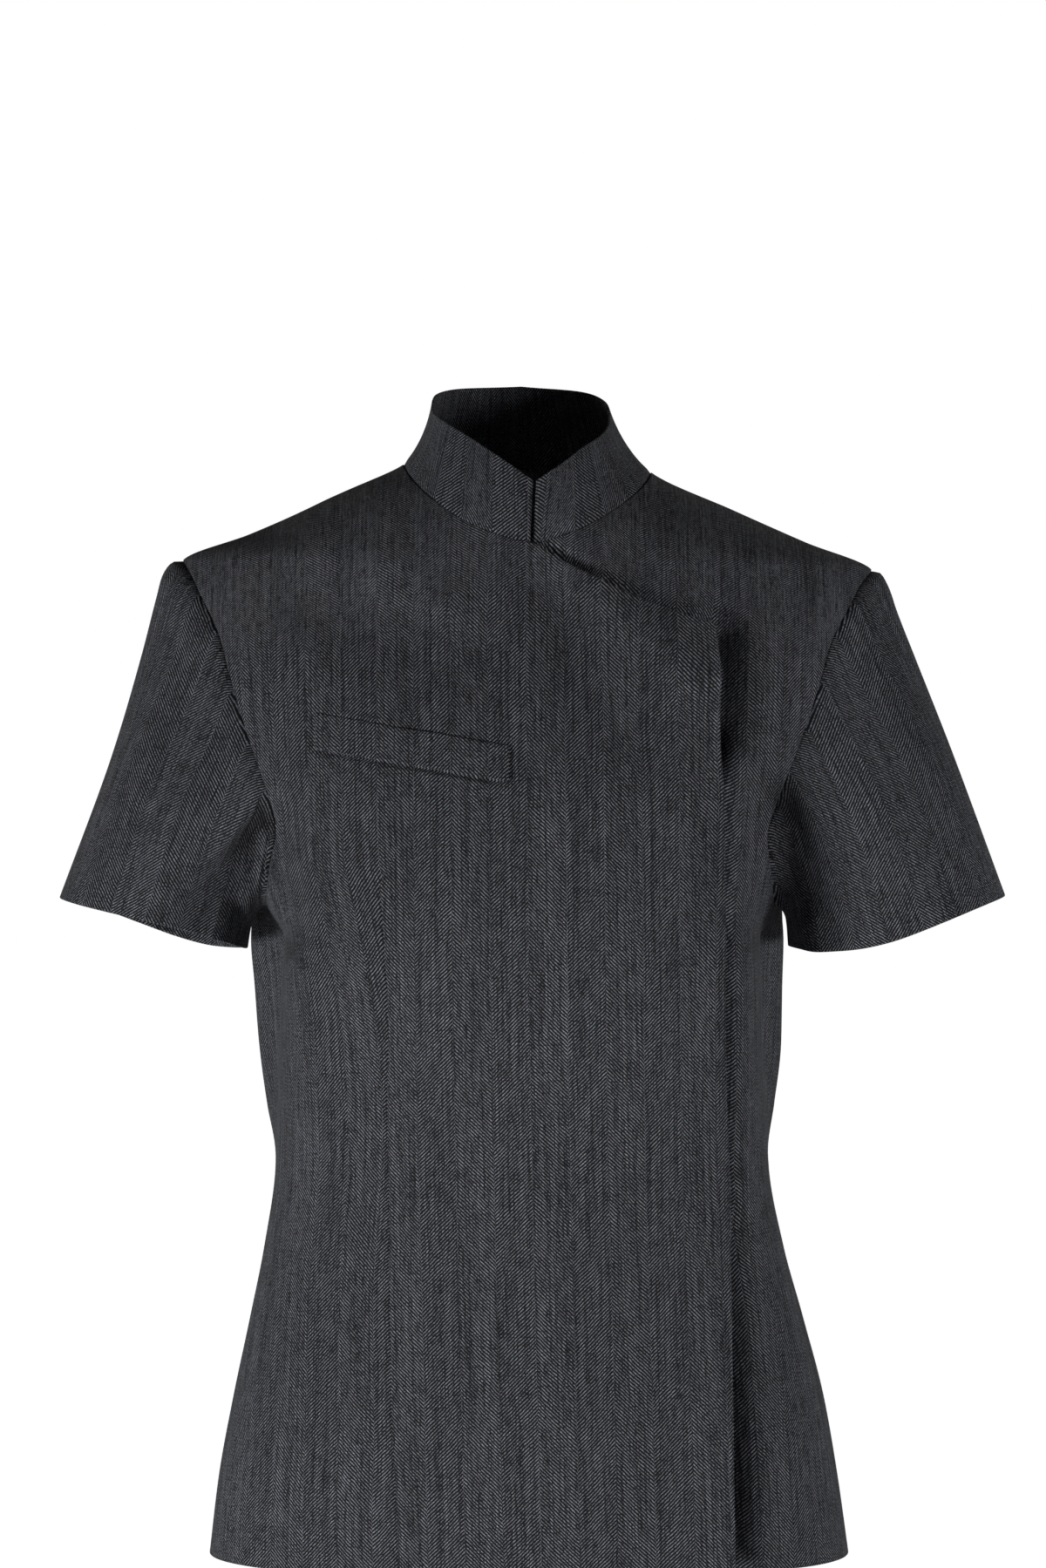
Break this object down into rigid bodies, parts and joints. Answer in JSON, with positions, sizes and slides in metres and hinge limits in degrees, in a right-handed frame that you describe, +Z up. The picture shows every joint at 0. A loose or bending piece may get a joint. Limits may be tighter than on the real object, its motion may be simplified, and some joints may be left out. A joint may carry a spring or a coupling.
{
  "type": "short-sleeved scrub top with a stand collar, in its worn form",
  "caption": "Short-sleeved herringbone scrub top with a stand collar, a wrap-over front and a slanting chest pocket, in its worn hollow form.",
  "frame": {"origin": "centre of the neckline at the height of the neck points, where the wearer's neck and shoulders hold the top up", "axes": "+Z up along the wearer's spine, -Y towards the front of the top, +X towards the wearer's left sleeve"},
  "size_m": [0.5415, 0.2564, 0.6722],
  "materials": {
    "herringbone_cloth": "dark grey herringbone suiting with a light nap"
  },
  "bodies": {
    "root": {"front_right": "herringbone_cloth", "front_left": "herringbone_cloth", "back": "herringbone_cloth", "sleeve_right": "herringbone_cloth", "sleeve_left": "herringbone_cloth", "collar": "herringbone_cloth", "pocket_welt": "herringbone_cloth"}
  },
  "joints": []
}
